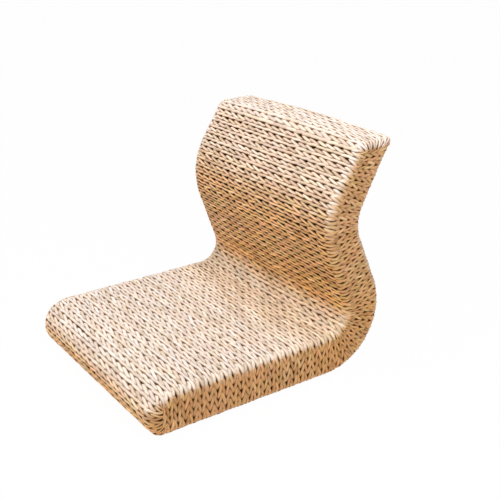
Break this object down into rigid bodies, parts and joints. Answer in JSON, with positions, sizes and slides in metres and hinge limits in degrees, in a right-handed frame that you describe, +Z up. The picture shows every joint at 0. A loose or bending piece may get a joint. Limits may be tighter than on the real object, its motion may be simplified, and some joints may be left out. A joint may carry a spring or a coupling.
{
  "type": "floor chair",
  "caption": "Legless floor chair with a flat seat bending up into an S-curved back, covered all over in twined natural rush.",
  "frame": {"origin": "on the floor under the middle of the chair's outer box", "axes": "+Z up, the sitter faces -Y, +X to the sitter's left"},
  "size_m": [0.42, 0.4704, 0.398],
  "materials": {
    "twined_rush": "satin",
    "plywood": "matte",
    "foam": "matte",
    "wadding": "matte"
  },
  "bodies": {
    "root": {"seat_rows": "twined_rush", "bend_inner_rows": "twined_rush", "bend_outer_rows": "twined_rush", "lower_back_rows": "twined_rush", "lumbar_front_rows": "twined_rush", "lumbar_rear_rows": "twined_rush", "upper_back_rows": "twined_rush", "front_end_weave": "twined_rush", "top_end_weave": "twined_rush", "side_frame_left": "plywood", "side_frame_right": "plywood", "front_rail": "plywood", "seat_rail": "plywood", "bend_rail": "plywood", "lower_back_rail": "plywood", "lumbar_rail": "plywood", "top_rail": "plywood", "seat_board": "plywood", "back_board": "plywood", "base_board": "plywood", "rear_board": "plywood", "seat_foam": "foam", "back_foam": "foam", "front_edge_foam": "foam", "top_edge_foam": "foam", "base_wadding": "wadding", "rear_wadding": "wadding", "side_wadding_left": "wadding", "side_wadding_right": "wadding"}
  },
  "joints": []
}
